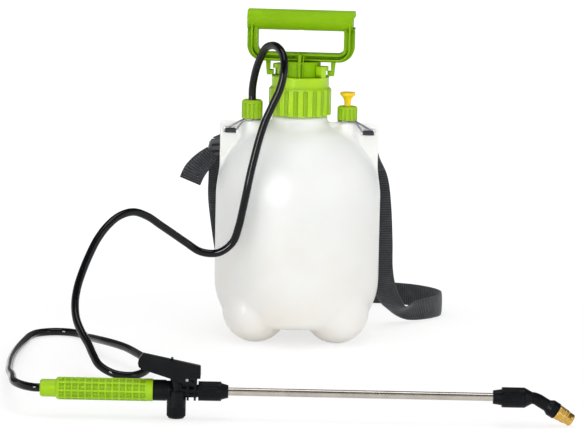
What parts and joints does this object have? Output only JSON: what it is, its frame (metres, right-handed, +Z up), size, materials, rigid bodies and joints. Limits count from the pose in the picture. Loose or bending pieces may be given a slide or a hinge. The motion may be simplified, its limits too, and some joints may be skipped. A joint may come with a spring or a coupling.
{
  "type": "pump sprayer",
  "caption": "Pressure sprayer with a blow-moulded tank, a hand pump in its neck, a shoulder strap, and a hose to a lance with a trigger valve and an angled adjustable nozzle.",
  "frame": {"origin": "on the floor, on the tank's vertical axis", "axes": "+Z up, +X to the right as seen from the front, the front looks along -Y and the lance lies in front of the tank along +X"},
  "size_m": [0.5754, 0.6628, 0.36],
  "materials": {
    "tank_plastic": "translucent natural polyethylene, satin",
    "lime_plastic": "moulded, satin",
    "black_plastic": "moulded, satin",
    "yellow_plastic": "moulded, satin",
    "inner_plastic": "moulded",
    "grey_plastic": "moulded, satin",
    "rubber": "matt",
    "hose_plastic": "glossy soft plastic",
    "webbing": "woven",
    "wire": "plated wire",
    "tube_steel": "drawn and polished",
    "brass": "turned"
  },
  "bodies": {
    "tank": {"tank": "tank_plastic", "neck_seal": "rubber", "hose_nut": "lime_plastic", "hose_tail": "black_plastic", "hose_seal": "rubber", "pickup_tube": "inner_plastic", "pickup_strainer": "black_plastic", "relief_nut": "lime_plastic", "relief_seat": "black_plastic", "relief_spring": "wire", "bail_left": "wire", "bail_right": "wire", "strap": "webbing", "strap_loop": "webbing", "strap_tail": "webbing", "strap_slider": "grey_plastic", "hose": "hose_plastic", "grip_collar": "lime_plastic", "grip": "lime_plastic", "grip_tube": "black_plastic", "grip_strainer": "grey_plastic", "valve_body": "black_plastic", "trigger_pin": "wire", "valve_spring": "wire", "valve_cap": "black_plastic", "tube_nut": "black_plastic", "tube_ferrule": "inner_plastic", "lance_tube": "tube_steel", "nozzle_nut": "black_plastic", "tube_seal": "rubber"},
    "pump": {"pump_cap": "lime_plastic", "rod_guide": "black_plastic", "pump_barrel": "inner_plastic", "foot_valve": "rubber"},
    "rod": {"pump_rod": "black_plastic", "piston": "inner_plastic", "piston_seal": "rubber", "piston_screw": "wire", "handle_clip": "wire"},
    "handle": {"handle": "lime_plastic"},
    "relief": {"relief_stem": "wire", "relief_seal": "rubber", "relief_knob": "yellow_plastic"},
    "trigger": {"trigger": "black_plastic"},
    "stem": {"valve_stem": "wire", "stem_seal": "rubber"},
    "elbow": {"nozzle_elbow": "black_plastic", "nozzle_seal": "rubber", "swirl_core": "inner_plastic"},
    "tip": {"nozzle_tip": "brass"}
  },
  "joints": [
    {"name": "pump_lift", "type": "slide", "parent": "tank", "child": "pump", "axis": [0, 0, 1], "range_m": [0, 0.215]},
    {"name": "pump_stroke", "type": "slide", "parent": "pump", "child": "rod", "axis": [0, 0, 1], "range_m": [0, 0.15]},
    {"name": "handle_twist", "type": "hinge", "parent": "rod", "child": "handle", "pos_m": [0, 0, 0.3], "axis": [0, 0, 1], "range_deg": [-14, 0]},
    {"name": "relief_pull", "type": "slide", "parent": "tank", "child": "relief", "axis": [0, 0, 1], "range_m": [0, 0.003], "stiffness_N_per_m": 300, "springref_m": -0.005, "deforming": ["relief_spring"]},
    {"name": "trigger_press", "type": "hinge", "parent": "tank", "child": "trigger", "pos_m": [-0.1055, -0.446, 0.04], "axis": [0, -1, 0], "range_deg": [0, 9], "stiffness_Nm_per_rad": 0.6, "springref_deg": -5.73},
    {"name": "valve_open", "type": "slide", "parent": "tank", "child": "stem", "axis": [0, 0, -1], "range_m": [0, 0.0019], "deforming": ["valve_spring"]},
    {"name": "elbow_swivel", "type": "hinge", "parent": "tank", "child": "elbow", "pos_m": [0.2263, -0.446, 0.0276], "axis": [1, 0, 0], "range_deg": [-180, 180]},
    {"name": "nozzle_turn", "type": "hinge", "parent": "elbow", "child": "tip", "pos_m": [0.23971, -0.446, 0.0256], "axis": [0.8572, 0, -0.515], "range_deg": [0, 360]}
  ],
  "couplings": [
    {"joint": "valve_open", "follows": "trigger_press", "m_per_rad": 0.0115}
  ]
}
